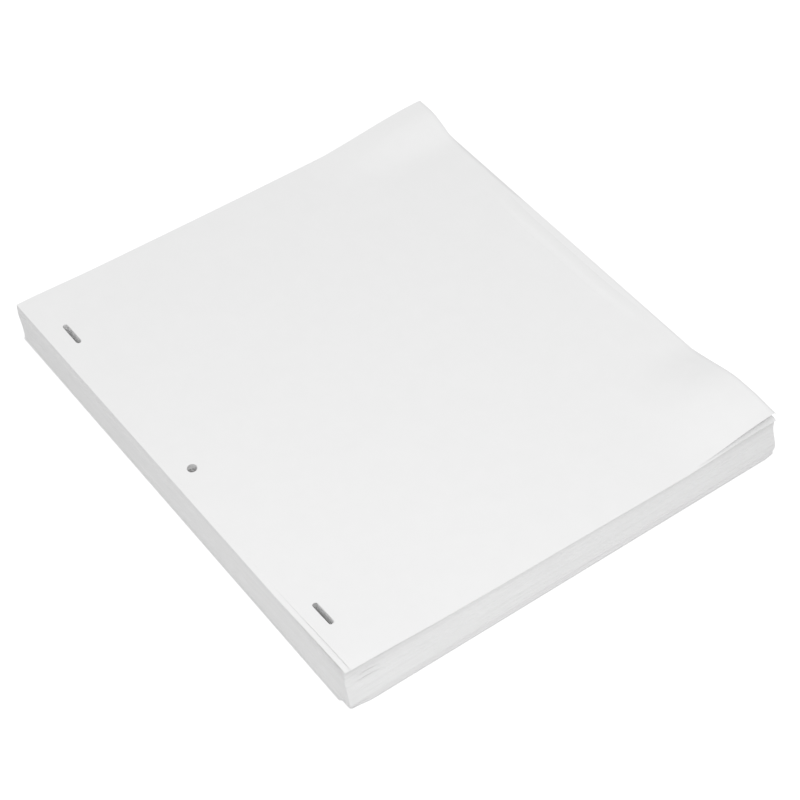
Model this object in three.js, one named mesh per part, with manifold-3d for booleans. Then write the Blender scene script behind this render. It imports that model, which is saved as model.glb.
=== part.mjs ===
// Punched animation paper: a loose stack of blank drawing sheets, squared up by hand.
// Every sheet is punched along one long edge with a round hole between two slots, so that a drawing
// drops onto the pegs of a drawing disc and lies in register with the sheets below it.
//
// Millimetres. +X runs from the punched edge to the far edge, +Y along the punched edge, +Z up.
// The origin is the middle of the stack's footprint, on the surface that the stack lies on.

import * as THREE from "three";
import { mergeVertices } from "three/addons/utils/BufferGeometryUtils.js";
import Module from "manifold-3d";

const wasm = await Module();
wasm.setup();

// Sheet
const sheetLength = 266.7; // along the punched edge, 10 1/2 in
const sheetDepth = 241.3; // from the punched edge to the far edge, 9 1/2 in
const sheetThickness = 0.1;

// Punches
const punchSpacing = 101.6; // hole centre to slot centre, 4 in
const punchInset = 10.2; // punched edge to the line of the punch centres
const holeDiameter = 5.0;
const slotLength = 14.2; // over its round ends
const slotWidth = 3.0;
const holeSides = 16;
const slotEndSteps = 5; // steps in each round end of a slot

// Stack
const stackHeight = 22.0; // floor to the top of the flat sheets
const liftCount = 16; // handfuls of sheets that slid together while the stack was squared up
const liftSlipX = 0.22; // most that one handful stands out of line towards the far edge
const liftSlipY = 0.3; // most that one handful stands out of line along the punched edge
const liftTurn = 0.0006; // most that one handful is turned, in radians
const leanX = -0.6; // how far the stack leans from its lowest sheets to its highest
const leanY = 1.8;
const leanUpTo = 0.78; // share of the height over which it leans, with upright sheets above
const lap = 0.01; // overlap of one handful with the next, which joins them

// Curl of the top sheet's corners: height of the tip over the flat stack, and how far the curl
// reaches in from the long edge and from the end. Front is the -Y end.
const farFrontHeight = 6.6;
const farFrontReachX = 56;
const farFrontReachY = 66;
const farBackHeight = 6.2;
const farBackReachX = 76;
const farBackReachY = 42;
const punchedFrontHeight = 2.8;
const punchedFrontReachX = 70;
const punchedFrontReachY = 60;
const secondHeightShare = 0.42; // the second sheet curls less than the one above it
const secondReachShare = 0.66;

// Place of the middle of each loose sheet, against the middle of the stack
const topSlipX = 0.6;
const topSlipY = 1.0;
const topTurn = -0.0016;
const topBowedIn = 2.4; // how far the top sheet's far edge lies inside a full sheet's, bowed by its curl
const secondSlipX = -0.2;
const secondSlipY = 1.2;
const secondTurn = 0.0004;
const bottomSlipX = -0.2;
const bottomSlipY = -0.9;
const bottomTurn = 0.0035;

// A curl at the corner on the given sides of the sheet's middle.
function curlAt(sideX, sideY, height, reachX, reachY) {
  return { sideX, sideY, height, reachX, reachY };
}

const corners = [
  curlAt(1, -1, farFrontHeight, farFrontReachX, farFrontReachY),
  curlAt(1, 1, farBackHeight, farBackReachX, farBackReachY),
  curlAt(-1, -1, punchedFrontHeight, punchedFrontReachX, punchedFrontReachY),
];
const lowerCorners = corners.map((curl) => ({
  ...curl,
  height: curl.height * secondHeightShare,
  reachX: curl.reachX * secondReachShare,
  reachY: curl.reachY * secondReachShare,
}));

const topSheet = { x: topSlipX, y: topSlipY, turn: topTurn, bowedIn: topBowedIn, curls: corners };
const secondSheet = { x: secondSlipX, y: secondSlipY, turn: secondTurn, bowedIn: 0, curls: lowerCorners };
const bottomSheet = { x: bottomSlipX, y: bottomSlipY, turn: bottomTurn, bowedIn: 0, curls: [] };
const sheetColumns = 18; // grid lines over a loose sheet, closest together at its edges
const sheetRows = 20;

const punchLine = punchInset - sheetDepth / 2; // X of the punch centres in a sheet

// Paper, as a matt near-white surface.
function paper(name, color) {
  return new THREE.MeshStandardMaterial({ name, color, roughness: 0.92, metalness: 0 });
}

// One closed mesh as a solid that can be joined and cut.
function toSolid(geometry) {
  const plain = geometry.clone();
  plain.deleteAttribute("normal");
  plain.deleteAttribute("uv");
  const merged = mergeVertices(plain, 1e-5);
  const mesh = new wasm.Mesh({
    numProp: 3,
    vertProperties: new Float32Array(merged.attributes.position.array),
    triVerts: new Uint32Array(merged.index.array),
  });
  return new wasm.Manifold(mesh);
}

function toGeometry(solid) {
  const mesh = solid.getMesh();
  const geometry = new THREE.BufferGeometry();
  geometry.setAttribute("position", new THREE.BufferAttribute(mesh.vertProperties, 3));
  geometry.setIndex(new THREE.BufferAttribute(mesh.triVerts, 1));
  geometry.computeVertexNormals();
  return geometry;
}

// Points of the round hole, in the middle of the punched edge.
function holePoints() {
  const circle = new THREE.EllipseCurve(punchLine, 0, holeDiameter / 2, holeDiameter / 2);
  return circle.getPoints(holeSides).slice(0, holeSides);
}

// Points of a slot with round ends, its length along the punched edge.
function slotPoints(centreY) {
  const reach = (slotLength - slotWidth) / 2;
  const end = (side, from) => new THREE.EllipseCurve(
    punchLine, centreY + side * reach, slotWidth / 2, slotWidth / 2, from, from + Math.PI);
  return [...end(1, 0).getPoints(slotEndSteps), ...end(-1, Math.PI).getPoints(slotEndSteps)];
}

function punches() {
  return [holePoints(), slotPoints(punchSpacing), slotPoints(-punchSpacing)];
}

// Moves a shape drawn about a sheet's own middle to where that sheet lies.
function placement(place, z) {
  return new THREE.Matrix4().makeRotationZ(place.turn).setPosition(place.x, place.y, z);
}

function extruded(shape, height) {
  return new THREE.ExtrudeGeometry(shape, { depth: height, bevelEnabled: false });
}

// How far the stack has leaned at a height, from 0 at the floor to 1 where the lean ends.
function leanShare(z) {
  return THREE.MathUtils.smoothstep(z, 0, stackHeight * leanUpTo);
}

// Where a handful of sheets lies: the stack's lean at its height, and its own small slip and turn.
function liftPlace(z) {
  const slip = () => THREE.MathUtils.seededRandom() * 2 - 1;
  const share = leanShare(z) - 0.5;
  return {
    x: leanX * share + liftSlipX * slip(),
    y: leanY * share + liftSlipY * slip(),
    turn: liftTurn * slip(),
  };
}

// The body of the stack: handfuls of sheets on top of each other, each with its own punches.
function stackGeometry(bottom, top) {
  THREE.MathUtils.seededRandom(11);
  const half = sheetDepth / 2;
  const outline = new THREE.Shape([
    new THREE.Vector2(-half, -sheetLength / 2),
    new THREE.Vector2(half, -sheetLength / 2),
    new THREE.Vector2(half, sheetLength / 2),
    new THREE.Vector2(-half, sheetLength / 2),
  ]);
  outline.holes = punches().map((points) => new THREE.Path(points));
  const liftHeight = (top - bottom) / liftCount;
  let stack = null;
  for (let i = 0; i < liftCount; i += 1) {
    const foot = bottom + i * liftHeight;
    const below = i === 0 ? 0 : lap;
    const lift = extruded(outline, liftHeight + below);
    lift.applyMatrix4(placement(liftPlace(foot + liftHeight / 2), foot - below));
    const solid = toSolid(lift);
    stack = stack ? stack.add(solid) : solid;
  }
  return toGeometry(stack);
}

// Lift of a sheet's corners at a point measured from the sheet's middle.
function curlHeight(x, y, depth, curls) {
  let height = 0;
  for (const curl of curls) {
    const fromEdge = depth / 2 - x * curl.sideX;
    const fromEnd = sheetLength / 2 - y * curl.sideY;
    const shareX = 1 - THREE.MathUtils.smoothstep(fromEdge, 0, curl.reachX);
    const shareY = 1 - THREE.MathUtils.smoothstep(fromEnd, 0, curl.reachY);
    height += curl.height * shareX * shareY;
  }
  return height;
}

// Draws evenly spaced grid lines towards both edges, where a sheet bends.
function towardsEdges(value, size) {
  return (size / 2) * Math.sin((value / size) * Math.PI);
}

// Turns the triangles on a plate's underside to run the same way as those on its top, so that the
// two faces of a thin bent sheet stay its thickness apart all over.
function matchUnderside(plate) {
  const { start, count } = plate.groups[plate.groups.length - 1];
  const index = plate.index.array;
  for (let i = start; i < start + count; i += 6) {
    const [a, b, d, , c] = index.slice(i, i + 6);
    index.set([a, b, c, a, c, d], i);
  }
}

// A single sheet lying on the plane z, with its corners curled and its punches cut.
function sheetGeometry(sheet, z) {
  const depth = sheetDepth - sheet.bowedIn;
  const flat = sheet.curls.length === 0;
  const columns = flat ? 1 : sheetColumns;
  const rows = flat ? 1 : sheetRows;
  const plate = new THREE.BoxGeometry(depth, sheetLength, sheetThickness, columns, rows, 1);
  matchUnderside(plate);
  const position = plate.attributes.position;
  for (let i = 0; i < position.count; i += 1) {
    const x = towardsEdges(position.getX(i), depth);
    const y = towardsEdges(position.getY(i), sheetLength);
    const face = position.getZ(i) > 0 ? sheetThickness : 0;
    position.setXYZ(i, x - sheet.bowedIn / 2, y, face + curlHeight(x, y, depth, sheet.curls));
  }
  let solid = toSolid(plate);
  const clearance = 1 + Math.max(0, ...sheet.curls.map((curl) => curl.height));
  for (const points of punches()) {
    const punch = extruded(new THREE.Shape(points), clearance * 2);
    punch.translate(0, 0, -clearance);
    solid = solid.subtract(toSolid(punch));
  }
  const geometry = toGeometry(solid);
  return geometry.applyMatrix4(placement(sheet, z));
}

function addMesh(group, name, geometry, material) {
  const mesh = new THREE.Mesh(geometry, material);
  mesh.name = name;
  group.add(mesh);
}

const paperStack = new THREE.Group();
paperStack.name = "animation_paper";

const secondFoot = stackHeight - 2 * sheetThickness;
const topFoot = stackHeight - sheetThickness;
const lowestPaper = paper("paper, lowest sheet", 0xf1f0ee);
const stackedPaper = paper("paper, sheet edges", 0xf0efed);
const secondPaper = paper("paper, second sheet", 0xf3f2f0);
const topPaper = paper("paper, top sheet", 0xf4f3f2);
addMesh(paperStack, "bottom_sheet", sheetGeometry(bottomSheet, 0), lowestPaper);
addMesh(paperStack, "sheet_stack", stackGeometry(sheetThickness, secondFoot), stackedPaper);
addMesh(paperStack, "second_sheet", sheetGeometry(secondSheet, secondFoot), secondPaper);
addMesh(paperStack, "top_sheet", sheetGeometry(topSheet, topFoot), topPaper);

export default paperStack;
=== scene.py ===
"""Punched animation paper: a squared-up stack of blank drawing sheets on a pale floor.

Lengths are in millimetres until a mesh is finished, and MM turns them to metres. +X runs from the
punched edge to the far edge, +Y along the punched edge, and front is the -Y end. The punched edge runs
from the back corner to the near one, and the far edge from the far corner to the right one.
"""

import math
import random

import bmesh
import bpy
import numpy as np
from mathutils import Euler, Matrix, Vector


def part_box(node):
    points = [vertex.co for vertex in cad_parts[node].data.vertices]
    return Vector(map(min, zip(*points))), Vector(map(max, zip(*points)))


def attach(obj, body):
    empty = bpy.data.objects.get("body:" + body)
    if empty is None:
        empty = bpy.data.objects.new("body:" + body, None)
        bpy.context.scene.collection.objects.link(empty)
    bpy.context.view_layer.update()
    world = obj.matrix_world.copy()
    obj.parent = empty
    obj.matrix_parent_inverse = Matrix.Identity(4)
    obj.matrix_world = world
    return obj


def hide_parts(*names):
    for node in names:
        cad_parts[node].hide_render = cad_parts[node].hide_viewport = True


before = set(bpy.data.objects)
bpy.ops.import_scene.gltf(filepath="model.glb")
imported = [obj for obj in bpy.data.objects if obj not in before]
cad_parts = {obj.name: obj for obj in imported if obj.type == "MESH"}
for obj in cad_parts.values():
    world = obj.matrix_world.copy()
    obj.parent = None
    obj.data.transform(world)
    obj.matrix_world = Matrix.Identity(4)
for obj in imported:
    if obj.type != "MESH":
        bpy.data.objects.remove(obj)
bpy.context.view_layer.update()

MM = 0.001

# One sheet, 10 1/2 by 9 1/2 in
LENGTH = 266.7  # along the punched edge
DEPTH = 241.3  # from the punched edge to the far edge
THICKNESS = 0.1
AIR = 0.004  # air between two sheets of the pile
PUNCHED_EDGE = -DEPTH / 2
FAR_EDGE = DEPTH / 2
FRONT_END = -LENGTH / 2
BACK_END = LENGTH / 2
CORNER_SIDES = {"back": (-1, 1), "near": (-1, -1), "right": (1, -1), "far": (1, 1)}

# Punches
PUNCH_SPACING = 101.6
PUNCH_INSET = 10.2
HOLE_DIAMETER = 5.0
SLOT_LENGTH = 14.2
SLOT_WIDTH = 2.8
PUNCH_LINE = PUNCH_INSET - DEPTH / 2
PUNCH_SIDES = 32
PIN_HEIGHT = 4  # of the pins that cut the punches, well over a sheet's thickness
PICK_MARGIN = 0.01  # how far from a pin's middle its points are picked

# Heights in the stack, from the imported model
STACK_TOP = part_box("sheet_stack")[1][2] / MM
STACK_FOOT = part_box("sheet_stack")[0][2] / MM
SECOND_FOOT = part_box("second_sheet")[0][2] / MM
TOP_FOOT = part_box("top_sheet")[0][2] / MM

# How far the pile's corners lie from a true stack's, in (x, y), for its lowest and its highest sheets
FOOT_SHIFT = {"back": (1.3, -0.05), "near": (-0.1, -1.0), "right": (1.1, -0.3), "far": (0.95, -0.45)}
HEAD_SHIFT = {"back": (1.65, 2.0), "near": (0.5, 2.65), "right": (-0.45, 1.75), "far": (-0.55, 1.4)}
# How far the corners of its highest sheets are raised
HEAD_LIFT = {"back": 0.0, "near": 0.2, "right": -0.4, "far": 0.0}
FLAT = {"back": 0.0, "near": 0.0, "right": 0.0, "far": 0.0}
LEAN_FROM = 3.0  # height at which the stack begins to lean back
LEAN_TO = 18.0  # height from which its sheets lie over each other again

# How much less than their corners the upper sheets are moved towards the back
MIDDLE_EASE = 1.2  # midway along the punched edge, fading to its ends
BACK_EASE = 0.8  # at the back end
BACK_EASE_FROM = 60  # in y, from where it grows to the back end
BACK_EASE_START = (-117, -75)  # in x, over which it grows
BACK_EASE_END = (-20, 110)  # in x, over which it fades again

# How much further in than the punches the punched edge lies, at the back and at the front
PILE_MARGIN = (-1.2, -0.8)
SECOND_MARGIN = (-1.2, -0.7)
TOP_MARGIN = (0.0, 1.9)
MARGIN_FADE = (1, 8)  # distance from the punched edge over which that fades

# Pile
PILE_COUNT = 216
PILE_GRID = 14
HANDFUL = 12  # sheets that slid together
HANDFUL_SLIP = 0.08
SHEET_SLIP = 0.05
SHEET_TURN = 0.0004
STRAY_SHARE = 0.05  # share of the sheets that stand out further
STRAY_SLIP = 0.22
PILE_SEED = 5
# Lines on which the sheets are cut for their bent corners
NEAR_CUTS = (4, 9, 13, 18)  # in from the punched edge
RIGHT_CUTS = (6, 3, 1.2)  # in from the far edge
FRONT_CUTS = (1.5, 3.5, 5.5, 7.5)  # in from the front

# How the upper sheets of the pile stand up at the near corner
NEAR_PUFF = 0.3
NEAR_PUFF_FROM = 10  # height from which they do
NEAR_PUFF_REACH = (60, 55)
# Gaps between sheets there: height in the pile, width, and reach along the punched edge
NEAR_GAPS = ((1.4, 0.6, 8), (17.4, 0.12, 26), (20.6, 0.1, 40))
GAP_ASPECT = 1.6  # reach along the front for one along the punched edge
# Short gaps in the front beside that corner: height and width
FRONT_GAPS = ((13.4, 0.6), (15.6, 0.55))
FRONT_GAP_PLACE = 11  # from the punched edge to their middle
FRONT_GAP_FADE = (2, 7)  # to both sides of it
FRONT_GAP_DEPTH = 6

# How the pile stands up at the right corner
RIGHT_SWELL = 1.0  # of the whole pile
RIGHT_GAP = 1.1  # under its loose upper sheets
RIGHT_LOOSE = 21.0  # height from which they are loose
RIGHT_REACH = (58, 44)

# Bent and worn corners of the lowest sheets
NEAR_BEND = (1.3, 1.2)  # how far the near corner is bent in, in (x, y)
NEAR_BEND_HEIGHT = (1.6, 2.4)  # heights over which the bend ends
NEAR_BEND_ALONG = (5.5, 7.5)  # distance from the front over which it ends
NEAR_BEND_ACROSS = (0, 12)  # distance from the punched edge over which it fades
RIGHT_WEAR = 0.7  # how far the right corner is worn in, both ways
RIGHT_WEAR_HEIGHT = 5.0  # height at which the wear ends
RIGHT_WEAR_REACH = 6

# Corners of the loose sheets, as the pile's
TOP_SHIFT = {"back": (1.65, 2.0), "near": (0.6, 1.7), "right": (-0.6, 1.2), "far": (-1.2, 0.8)}
SECOND_SHIFT = {"back": (1.65, 2.0), "near": (0.5, 2.2), "right": (-1.5, -0.2), "far": (-0.5, 1.4)}
BOTTOM_SHIFT = {"back": (1.3, -0.2), "near": (0.1, -1.2), "right": (1.0, -0.5), "far": (1.0, -0.5)}
LOOSE_COLUMNS = 84
LOOSE_ROWS = 92

# Curls: corner, height, and the distances from the long edge and from the end over which each fades
TOP_CURLS = (
    ("right", 8.2, (0, 56), (24, 64)),
    ("right", -1.3, (0, 56), (0, 16)),  # its tip droops again
    ("far", 6.5, (0, 76), (8, 32)),
    ("near", 2.2, (0, 66), (0, 58)),
)
SECOND_CURLS = (
    ("right", 2.9, (10, 58), (0, 44)),
    ("far", 2.8, (0, 50), (0, 28)),
    ("near", 1.75, (0, 62), (0, 55)),
)

# The top sheet's far edge bows in between its curled corners, with a low ridge behind it
BOW = 4.0
BOW_MIDDLE = 8  # in y
BOW_FADE = (22, 92)  # distance from its middle over which it fades
BOW_FROM = 20  # in x, from where the sheet is drawn in
RIDGE_FADE = (28, 74)
# Distance in from the edge, and height
FAR_RIDGE = ((0.0, 0.0), (1.5, 0.27), (3.0, 0.42), (4.5, 0.47), (5.5, 0.41), (7.0, 0.15), (8.5, 0.0))

# The far margin turns down: on the top sheet beside both curls, on the second one beside the far curl
ROLL_WIDTH = 2.4
ROLL_LINES = 4  # lines of the mesh across it
ROLL_RIGHT = 1.6
ROLL_FAR = 0.6
ROLL_GROWTH = (66, 100)  # distance from the middle over which it grows
SECOND_ROLL = 0.6
SECOND_ROLL_MIDDLE = 78
SECOND_ROLL_FADE = (14, 34)

# The lowest sheet's front margin stands clear of the table
FRONT_RISE = 0.35
FRONT_RISE_WIDTH = 3

SHADE_ANGLE = 35  # degrees past which an edge is shaded sharp


def smooth(value, start, end):
    """0 before start, 1 after end, and an S-curve between."""
    share = np.clip((value - start) / (end - start), 0.0, 1.0)
    return share * share * (3 - 2 * share)


def fading(distance, start, end):
    return 1 - smooth(distance, start, end)


def corner_mean(x, y, corners):
    """The value at a place on the sheet, from the values at its four corners."""
    u = x / DEPTH + 0.5
    v = y / LENGTH + 0.5
    near = (1 - u) * (1 - v) * corners["near"]
    back = (1 - u) * v * corners["back"]
    right = u * (1 - v) * corners["right"]
    return near + back + right + u * v * corners["far"]


def corner_shift(x, y, corners, axis):
    return corner_mean(x, y, {name: place[axis] for name, place in corners.items()})


def curl(x, y, corner, height, across, along):
    """Lift of a curled corner, which fades over distances from the long edge and from the end."""
    side_x, side_y = CORNER_SIDES[corner]
    return height * fading(DEPTH / 2 - x * side_x, *across) * fading(LENGTH / 2 - y * side_y, *along)


def curled(x, y, curls):
    return sum(curl(x, y, *each) for each in curls)


def eased(x, y):
    """The upper sheets' move to the front between the slots and along the back end, where they are set
    back less than at their corners."""
    between_slots = fading(np.abs(y), 0, BACK_END) * fading(x, PUNCHED_EDGE, 0)
    across = smooth(x, *BACK_EASE_START) * fading(x, *BACK_EASE_END)
    back_end = smooth(y, BACK_EASE_FROM, BACK_END) * across
    return -MIDDLE_EASE * between_slots - BACK_EASE * back_end


def punched_margin(x, y, at_back, at_near):
    """How far the punched edge lies further in than the punches do, at its back end and its near end."""
    share = smooth(-y, FRONT_END, BACK_END)
    return (at_back + (at_near - at_back) * share) * fading(x - PUNCHED_EDGE, *MARGIN_FADE)


# Modelling helpers


def deselect():
    bpy.ops.object.select_all(action="DESELECT")


def make_active(piece):
    deselect()
    piece.select_set(True)
    bpy.context.view_layer.objects.active = piece


def apply_modifier(piece, kind, **settings):
    """Adds a modifier to a piece with its settings and applies it."""
    make_active(piece)
    modifier = piece.modifiers.new(kind.lower(), kind)
    for name, value in settings.items():
        setattr(modifier, name, value)
    bpy.ops.object.modifier_apply(modifier=modifier.name)


def punch_pin(y, length):
    """A pin with a punch's outline: a round one, drawn out to a slot where it is longer than wide."""
    deselect()
    width = HOLE_DIAMETER if length == HOLE_DIAMETER else SLOT_WIDTH
    bpy.ops.mesh.primitive_cylinder_add(
        vertices=PUNCH_SIDES, radius=width / 2, depth=PIN_HEIGHT, location=(PUNCH_LINE, y, 0))
    pin = bpy.context.object
    bpy.ops.object.transform_apply(location=True, rotation=False, scale=False)
    bpy.ops.object.mode_set(mode="EDIT")
    for side in (1, -1):
        shape = bmesh.from_edit_mesh(pin.data)
        for vert in shape.verts:
            vert.select_set((vert.co.y - y) * side > PICK_MARGIN)
        shape.select_flush_mode()
        bmesh.update_edit_mesh(pin.data)
        bpy.ops.transform.translate(value=(0, side * (length - width) / 2, 0))
    bpy.ops.object.mode_set(mode="OBJECT")
    return pin


def punched_sheet(name, columns, rows, thickness):
    """One flat sheet with its punches cut, which the others are copied from."""
    deselect()
    bpy.ops.mesh.primitive_grid_add(x_subdivisions=columns, y_subdivisions=rows, size=1)
    sheet = bpy.context.object
    sheet.name = name
    sheet.scale = (DEPTH, LENGTH, 1)
    bpy.ops.object.transform_apply(location=False, rotation=False, scale=True)
    apply_modifier(sheet, "SOLIDIFY", thickness=thickness, offset=1.0)
    for y, length in ((0, HOLE_DIAMETER), (PUNCH_SPACING, SLOT_LENGTH), (-PUNCH_SPACING, SLOT_LENGTH)):
        pin = punch_pin(y, length)
        apply_modifier(sheet, "BOOLEAN", object=pin, operation="DIFFERENCE", solver="EXACT")
        bpy.data.objects.remove(pin)
    return sheet


def cut_lines(piece, places_x, places_y):
    """Cuts a flat sheet's mesh along more lines, where it bends sharply."""
    make_active(piece)
    bpy.ops.object.mode_set(mode="EDIT")
    lines = [((x, 0, 0), (1, 0, 0)) for x in places_x] + [((0, y, 0), (0, 1, 0)) for y in places_y]
    for place, across in lines:
        bpy.ops.mesh.select_all(action="SELECT")
        bpy.ops.mesh.bisect(plane_co=place, plane_no=across)
    bpy.ops.object.mode_set(mode="OBJECT")


def cut_corners(sheet):
    """Cuts the lines that a sheet's bent near and right corners need."""
    near = [PUNCHED_EDGE + inset for inset in NEAR_CUTS]
    right = [FAR_EDGE - inset for inset in RIGHT_CUTS]
    cut_lines(sheet, near + right, [FRONT_END + inset for inset in FRONT_CUTS])


def points_of(piece):
    points = np.empty(len(piece.data.vertices) * 3)
    piece.data.vertices.foreach_get("co", points)
    return points.reshape(-1, 3)


def set_points(piece, points):
    """Puts a sheet's points, in millimetres, where they lie in metres."""
    piece.data.vertices.foreach_set("co", (points * MM).ravel())
    piece.data.update()


def copy_of(piece, name):
    twin = piece.copy()
    twin.data = piece.data.copy()
    twin.name = name
    bpy.context.collection.objects.link(twin)
    return twin


def join(pieces, name):
    deselect()
    for piece in pieces:
        piece.select_set(True)
    bpy.context.view_layer.objects.active = pieces[0]
    bpy.ops.object.join()
    pieces[0].name = name
    pieces[0].data.name = name
    return pieces[0]


def finish(piece, material, slot, *nodes):
    """Gives a piece its material, and its place in the frame in the stead of the given nodes."""
    piece.data.materials.clear()
    piece.data.materials.append(material)
    make_active(piece)
    bpy.ops.object.shade_smooth_by_angle(angle=math.radians(SHADE_ANGLE))
    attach(piece, "root")
    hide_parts(*nodes)


# Pile


def puff(x, y, level):
    """How far the sheets stand up from each other at the near and the right corner."""
    reach_x, reach_y = NEAR_PUFF_REACH
    near = NEAR_PUFF * smooth(level, NEAR_PUFF_FROM, STACK_TOP)
    lift = curl(x, y, "near", near, (0, reach_x), (0, reach_y))
    for at, gap, reach in NEAR_GAPS:
        lift = lift + (level >= at) * curl(x, y, "near", gap, (0, reach * GAP_ASPECT), (0, reach))
    from_middle = np.abs(x - PUNCHED_EDGE - FRONT_GAP_PLACE)
    beside = fading(from_middle, *FRONT_GAP_FADE) * fading(y - FRONT_END, 0, FRONT_GAP_DEPTH)
    for at, gap in FRONT_GAPS:
        lift = lift + gap * (level >= at) * beside
    right = RIGHT_SWELL * level / STACK_TOP + RIGHT_GAP * (level >= RIGHT_LOOSE)
    reach_x, reach_y = RIGHT_REACH
    return lift + curl(x, y, "right", right, (0, reach_x), (0, reach_y))


def worn_corners(x, y, level):
    """How far the near and the right corner of the lowest sheets are bent and worn in, in (x, y)."""
    near = fading(level, *NEAR_BEND_HEIGHT) * curl(x, y, "near", 1.0, NEAR_BEND_ACROSS, NEAR_BEND_ALONG)
    reach = (0, RIGHT_WEAR_REACH)
    right = fading(level, 0, RIGHT_WEAR_HEIGHT) * curl(x, y, "right", RIGHT_WEAR, reach, reach)
    return NEAR_BEND[0] * near - right, NEAR_BEND[1] * near + right


def shift_in_pile(x, y, share):
    """How far a place on a sheet is moved, where share is 0 at the pile's foot and 1 at its head."""
    moved = []
    for axis in (0, 1):
        foot = corner_shift(x, y, FOOT_SHIFT, axis)
        head = corner_shift(x, y, HEAD_SHIFT, axis)
        moved.append(foot + (head - foot) * share)
    return moved[0] + share * punched_margin(x, y, *PILE_MARGIN), moved[1] + share * eased(x, y)


def lie_in_pile(flat, level, slip_x, slip_y, turn):
    """Where a flat sheet's points come to lie at a level of the pile."""
    x, y = flat[:, 0], flat[:, 1]
    shift_x, shift_y = shift_in_pile(x, y, smooth(level, LEAN_FROM, LEAN_TO))
    worn_x, worn_y = worn_corners(x, y, level)
    height = (level + flat[:, 2]) * (1 + corner_mean(x, y, HEAD_LIFT) / STACK_TOP)
    return np.column_stack([
        x - turn * y + shift_x + slip_x + worn_x,
        y + turn * x + shift_y + slip_y + worn_y,
        height + puff(x, y, level),
    ])


def pile():
    """The sheets between the lowest one and the two loose ones on top, in three pieces."""
    pick = random.Random(PILE_SEED)
    pitch = (STACK_TOP - STACK_FOOT) / PILE_COUNT
    model = punched_sheet("pile_sheet", PILE_GRID, PILE_GRID, pitch - AIR)
    cut_corners(model)
    flat = points_of(model)
    sheets = []
    slip = [0.0, 0.0]
    for i in range(PILE_COUNT):
        if i % HANDFUL == 0:
            slip = [pick.uniform(-HANDFUL_SLIP, HANDFUL_SLIP) for _ in range(2)]
        own = STRAY_SLIP if pick.random() < STRAY_SHARE else SHEET_SLIP
        own_x, own_y = pick.uniform(-own, own), pick.uniform(-own, own)
        turn = pick.uniform(-SHEET_TURN, SHEET_TURN)
        sheet = copy_of(model, f"pile_sheet_{i}")
        level = STACK_FOOT + i * pitch
        set_points(sheet, lie_in_pile(flat, level, slip[0] + own_x, slip[1] + own_y, turn))
        sheets.append(sheet)
    bpy.data.objects.remove(model)
    third = PILE_COUNT // 3
    lots = (("lower_sheets", sheets[:third]), ("middle_sheets", sheets[third:2 * third]),
            ("upper_sheets", sheets[2 * third:]))
    for name, lot in lots:
        finish(join(lot, name), cut_edges, "stacked_paper", "sheet_stack")


# Loose sheets


def placed(flat, corners, lift, foot):
    """A flat sheet's points, moved to where its corners lie."""
    x, y = flat[:, 0], flat[:, 1]
    return np.column_stack([
        x + corner_shift(x, y, corners, 0),
        y + corner_shift(x, y, corners, 1),
        foot + flat[:, 2] + corner_mean(x, y, lift),
    ])


def laid_on_pile(flat, corners, foot, margin):
    """A loose sheet's points where they lie on the pile, following its eased sides."""
    x, y = flat[:, 0], flat[:, 1]
    points = placed(flat, corners, HEAD_LIFT, foot)
    points[:, 0] += punched_margin(x, y, *margin)
    points[:, 1] += eased(x, y)
    return points


def from_bow(y):
    return np.abs(y - BOW_MIDDLE)


def bowed_in(x, y):
    """How far the far edge bows in, fading towards the punches."""
    return -BOW * fading(from_bow(y), *BOW_FADE) * smooth(x, BOW_FROM, FAR_EDGE)


def far_ridge(x, y):
    """The low ridge along the far edge, between the curled corners."""
    return np.interp(FAR_EDGE - x, *zip(*FAR_RIDGE)) * fading(from_bow(y), *RIDGE_FADE)


def rolled_margin(x, depth):
    """The far margin of a sheet, turned down by a depth that can differ along it."""
    margin = np.clip((x - FAR_EDGE + ROLL_WIDTH) / ROLL_WIDTH, 0, 1)
    return -margin * margin * depth


def second_sheet(model, flat):
    x, y = flat[:, 0], flat[:, 1]
    sheet = copy_of(model, "second_drawing_sheet")
    points = laid_on_pile(flat, SECOND_SHIFT, SECOND_FOOT, SECOND_MARGIN)
    roll = SECOND_ROLL * fading(np.abs(y - SECOND_ROLL_MIDDLE), *SECOND_ROLL_FADE)
    points[:, 2] += curled(x, y, SECOND_CURLS) + rolled_margin(x, roll)
    set_points(sheet, points)
    finish(sheet, drawing_paper, "loose_paper", "second_sheet")


def top_sheet(model, flat):
    x, y = flat[:, 0], flat[:, 1]
    sheet = copy_of(model, "top_drawing_sheet")
    points = laid_on_pile(flat, TOP_SHIFT, TOP_FOOT, TOP_MARGIN)
    points[:, 0] += bowed_in(x, y)
    roll = ROLL_RIGHT * smooth(-y, *ROLL_GROWTH) + ROLL_FAR * smooth(y, *ROLL_GROWTH)
    points[:, 2] += curled(x, y, TOP_CURLS) + far_ridge(x, y) + rolled_margin(x, roll)
    set_points(sheet, points)
    finish(sheet, drawing_paper, "loose_paper", "top_sheet")


def loose_sheets():
    """The two loose sheets on top, from one punched sheet with more lines along its far edge."""
    model = punched_sheet("loose_sheet", LOOSE_COLUMNS, LOOSE_ROWS, THICKNESS)
    across_roll = [FAR_EDGE - ROLL_WIDTH * (line + 1) / ROLL_LINES for line in range(ROLL_LINES)]
    across_ridge = [FAR_EDGE - inset for inset, _ in FAR_RIDGE[1:]]
    cut_lines(model, across_roll + across_ridge, ())
    flat = points_of(model)
    second_sheet(model, flat)
    top_sheet(model, flat)
    bpy.data.objects.remove(model)


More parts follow.
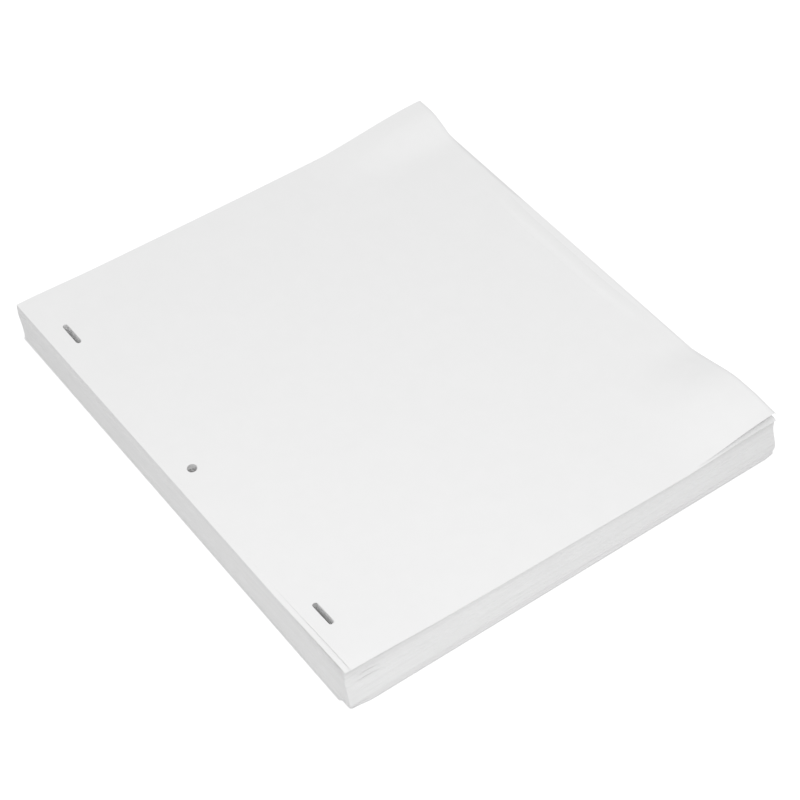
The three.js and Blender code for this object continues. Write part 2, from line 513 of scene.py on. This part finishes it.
def lowest_sheet():
    sheet = punched_sheet("lowest_drawing_sheet", PILE_GRID, PILE_GRID, THICKNESS - AIR)
    cut_corners(sheet)
    flat = points_of(sheet)
    x, y = flat[:, 0], flat[:, 1]
    points = placed(flat, BOTTOM_SHIFT, FLAT, 0.0)
    worn_x, worn_y = worn_corners(x, y, 0)
    points[:, 0] += worn_x
    points[:, 1] += worn_y
    points[:, 2] += FRONT_RISE * fading(y - FRONT_END, 0, FRONT_RISE_WIDTH)
    set_points(sheet, points)
    finish(sheet, drawing_paper, "loose_paper", "bottom_sheet")


# Materials

CLOUD = 9  # size of the paper's faint clouds
TOOTH = 0.6  # size of its fine bumps
TOOTH_HEIGHT = 0.012
BUMP_STRENGTH = 0.35
EDGE_FIBRE = 0.5  # size of the bumps that the knife leaves
EDGE_FIBRE_HEIGHT = 0.02
STREAK = 0.55  # height of a painted streak of light and shade in the cut edges
STREAK_STRETCH = 0.012  # scale of their pattern along the edges, which draws them out to about 46 mm
PAINTED_SHADE_FROM = 17.5  # height from which the upper edges are painted darker, as the shade under the overhanging top sheets
FLOOR_GLOW = 0.5
CONTACT_REACH = 0.9  # how far the stack's contact shadow shows on the floor
CONTACT_POWER = 6.0
CONTACT_RAYS = 8


def srgb(code):
    """A colour from its sRGB hex code, as the linear values that a shader reads."""
    values = [int(code[i:i + 2], 16) / 255 for i in (1, 3, 5)]
    linear = [v / 12.92 if v <= 0.04045 else ((v + 0.055) / 1.055) ** 2.4 for v in values]
    return (*linear, 1.0)


def add_node(owner, kind, inputs=None, **settings):
    """Adds a node to a material or the world. An input is a value or another node's output socket."""
    node = owner.node_tree.nodes.new(kind)
    for name, value in settings.items():
        setattr(node, name, value)
    for name, value in (inputs or {}).items():
        if isinstance(value, bpy.types.NodeSocket):
            owner.node_tree.links.new(value, node.inputs[name])
        else:
            node.inputs[name].default_value = value
    return node


def colour_of(mix):
    return next(socket for socket in mix.outputs if socket.type == "RGBA")


def new_material(name):
    material = bpy.data.materials.new(name)
    material.use_nodes = True
    material.node_tree.nodes.clear()
    return material


def paper_surface(material, colour, height, bump_height, roughness):
    """Uncoated paper: matt, with a dull sheen at grazing angles, and fibres as a fine bump."""
    bump = add_node(material, "ShaderNodeBump", {
        "Height": height, "Distance": bump_height * MM, "Strength": BUMP_STRENGTH})
    surface = add_node(material, "ShaderNodeBsdfPrincipled", {
        "Base Color": colour, "Roughness": roughness, "IOR": 1.47, "Specular IOR Level": 0.25,
        "Normal": bump.outputs["Normal"],
    })
    add_node(material, "ShaderNodeOutputMaterial", {"Surface": surface.outputs["BSDF"]})


def make_drawing_paper():
    """Wood-free drawing paper, 75 g/m2, uncoated and smooth: a soft white, faintly cloudy where the
    fibres lie unevenly, with a tooth so fine that it only takes the shine off."""
    material = new_material("wood-free drawing paper")
    place = add_node(material, "ShaderNodeTexCoord").outputs["Object"]
    cloud = add_node(material, "ShaderNodeTexNoise", {
        "Vector": place, "Scale": 1 / (CLOUD * MM), "Detail": 3.0, "Roughness": 0.55})
    tint = add_node(material, "ShaderNodeMix", {
        "Factor": cloud.outputs["Fac"], "A": srgb("#F4F4F4"), "B": srgb("#F7F7F7")}, data_type="RGBA")
    fibre = add_node(material, "ShaderNodeTexNoise", {
        "Vector": place, "Scale": 1 / (TOOTH * MM), "Detail": 4.0, "Roughness": 0.6})
    paper_surface(material, colour_of(tint), fibre.outputs["Fac"], TOOTH_HEIGHT, 0.9)
    return material


def make_cut_edges():
    """The same paper seen at its guillotined edges: painted greyer, as shade where light sinks in
    between the sheets, and with painted streaks of light and shade along them where some stand out."""
    material = new_material("guillotined edges of wood-free paper")
    place = add_node(material, "ShaderNodeTexCoord").outputs["Object"]
    along = add_node(material, "ShaderNodeMapping", {
        "Vector": place, "Scale": (STREAK_STRETCH, STREAK_STRETCH, 1.0)})
    # painted streaks of light and shade, for sheets of the pile that stand out or lie back
    streak = add_node(material, "ShaderNodeTexNoise", {
        "Vector": along.outputs["Vector"], "Scale": 1 / (STREAK * MM), "Detail": 3.0, "Roughness": 0.7})
    # painted shade: the edges greyer than the faces, where light sinks in between the sheets
    tint = add_node(material, "ShaderNodeMix", {
        "Factor": streak.outputs["Fac"], "A": srgb("#E8E8E8"), "B": srgb("#F5F5F5")}, data_type="RGBA")
    fibre = add_node(material, "ShaderNodeTexNoise", {
        "Vector": place, "Scale": 1 / (EDGE_FIBRE * MM), "Detail": 3.0, "Roughness": 0.6})
    height = add_node(material, "ShaderNodeSeparateXYZ", {"Vector": place}).outputs["Z"]
    # painted shade: the upper edges darken with height, as the shadow the overhanging top sheets cast on
    # them
    loose = add_node(material, "ShaderNodeMapRange", {
        "Value": height, "From Min": PAINTED_SHADE_FROM * MM, "From Max": STACK_TOP * MM,
        "To Min": 0.0, "To Max": 1.0})
    shade_under_top = add_node(material, "ShaderNodeMix", {
        "Factor": loose.outputs["Result"], "A": colour_of(tint), "B": srgb("#EAEAEA")}, data_type="RGBA")
    paper_surface(material, colour_of(shade_under_top), fibre.outputs["Fac"], EDGE_FIBRE_HEIGHT, 0.95)
    return material


def make_floor_paint():
    """Matt white table top, which shows as plain white and keeps the stack's contact shadow."""
    material = new_material("matt white table top")
    path = add_node(material, "ShaderNodeLightPath").outputs["Is Camera Ray"]
    open_sky = add_node(material, "ShaderNodeAmbientOcclusion", {"Distance": CONTACT_REACH * MM},
                        samples=CONTACT_RAYS)
    contact = add_node(material, "ShaderNodeMath", {
        0: open_sky.outputs["AO"], 1: CONTACT_POWER}, operation="POWER")
    shown = add_node(material, "ShaderNodeMath", {0: path, 1: contact.outputs[0]}, operation="MULTIPLY")
    glow = add_node(material, "ShaderNodeMath", {
        0: shown.outputs[0], 1: FLOOR_GLOW}, operation="MULTIPLY")
    matt = add_node(material, "ShaderNodeBsdfDiffuse", {"Color": srgb("#E6E6E6")})
    shine = add_node(material, "ShaderNodeEmission", {"Strength": glow.outputs[0]})
    both = add_node(material, "ShaderNodeAddShader", {0: matt.outputs[0], 1: shine.outputs[0]})
    add_node(material, "ShaderNodeOutputMaterial", {"Surface": both.outputs[0]})
    return material


# Camera, light and floor

CAMERA_PLACE = (-460.21, -603.96, 835.44)
CAMERA_DOWN = 47.62  # degrees below the horizon
CAMERA_AROUND = 36.69  # degrees from +Y towards +X
CAMERA_ROLL = 0.38
LENS = 107.83
SENSOR = 36
SHIFT = (0.0348, -0.0119)
SIGHT = 20  # metres that the camera sees

SKY = 0.708
KEY_WATTS = 4.9
KEY_SIZE = 900
KEY_PLACE = (-410, -670, 950)
FLOOR_SIZE = 6000


def photo_camera():
    data = bpy.data.cameras.new("photo camera")
    data.lens = LENS
    data.sensor_width = SENSOR
    data.shift_x, data.shift_y = SHIFT
    data.clip_end = SIGHT
    camera = bpy.data.objects.new("photo camera", data)
    bpy.context.collection.objects.link(camera)
    turn = Euler((math.radians(90 - CAMERA_DOWN), 0, -math.radians(CAMERA_AROUND))).to_matrix()
    turn = turn @ Matrix.Rotation(math.radians(CAMERA_ROLL), 3, "Z")
    camera.matrix_world = Matrix.Translation(Vector(CAMERA_PLACE) * MM) @ turn.to_4x4()
    bpy.context.scene.camera = camera


def bright_room():
    """A plain bright room, white where the camera sees it and at the sky's level as light."""
    world = bpy.data.worlds.new("studio")
    bpy.context.scene.world = world
    world.use_nodes = True
    world.node_tree.nodes.clear()
    path = add_node(world, "ShaderNodeLightPath").outputs["Is Camera Ray"]
    seen = add_node(world, "ShaderNodeMath", {0: path, 1: SKY}, operation="MAXIMUM")
    back = add_node(world, "ShaderNodeBackground", {
        "Color": srgb("#FFFFFF"), "Strength": seen.outputs[0]})
    add_node(world, "ShaderNodeOutputWorld", {"Surface": back.outputs[0]})


def key_lamp():
    """One wide lamp over the near corner."""
    lamp = bpy.data.lights.new("key lamp", "AREA")
    lamp.energy = KEY_WATTS
    lamp.size = KEY_SIZE * MM
    key = bpy.data.objects.new("key lamp", lamp)
    bpy.context.collection.objects.link(key)
    key.location = Vector(KEY_PLACE) * MM
    key.rotation_euler = (-key.location).to_track_quat("-Z", "Y").to_euler()


def floor():
    deselect()
    bpy.ops.mesh.primitive_plane_add(size=FLOOR_SIZE * MM, location=(0, 0, 0))
    top = bpy.context.object
    top.name = "table_top"
    top.data.materials.append(make_floor_paint())


bpy.context.scene.view_settings.view_transform = "Standard"
photo_camera()
bright_room()
key_lamp()
floor()
drawing_paper = make_drawing_paper()
cut_edges = make_cut_edges()
lowest_sheet()
pile()
loose_sheets()
